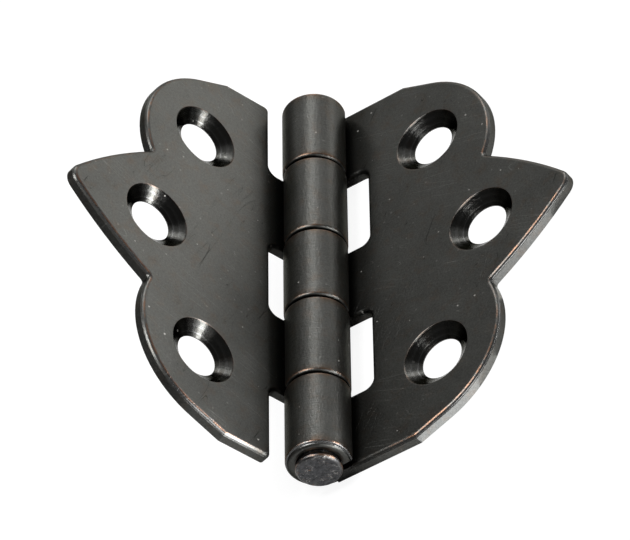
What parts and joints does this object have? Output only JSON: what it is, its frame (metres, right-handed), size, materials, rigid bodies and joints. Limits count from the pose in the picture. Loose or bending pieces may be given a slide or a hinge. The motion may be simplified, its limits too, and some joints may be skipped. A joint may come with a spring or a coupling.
{
  "type": "butterfly hinge",
  "caption": "Small butterfly hinge: scalloped stamped leaves with rolled, interleaved knuckles swing on a pin with spread ends and take countersunk screws; dark bronze finish.",
  "frame": {"origin": "on the right leaf's back, straight under the middle of the pin", "axes": "+X along the right leaf away from the pin, +Y along the pin, +Z out of the right leaf's front"},
  "size_m": [0.041, 0.0522, 0.0317],
  "materials": {
    "leaf": "satin dark bronze plating on steel sheet, worn copper-brown at the edges",
    "pin": "satin dark plating on a steel rod, rubbed grey on its ends"
  },
  "bodies": {
    "right": {"right_leaf": "leaf", "pin": "pin"},
    "left": {"left_leaf": "leaf"}
  },
  "joints": [
    {"name": "leaf_swing", "type": "hinge", "parent": "right", "child": "left", "pos_m": [0, 0, 0.00345], "axis": [0, 1, 0], "range_deg": [-165, 113]}
  ]
}
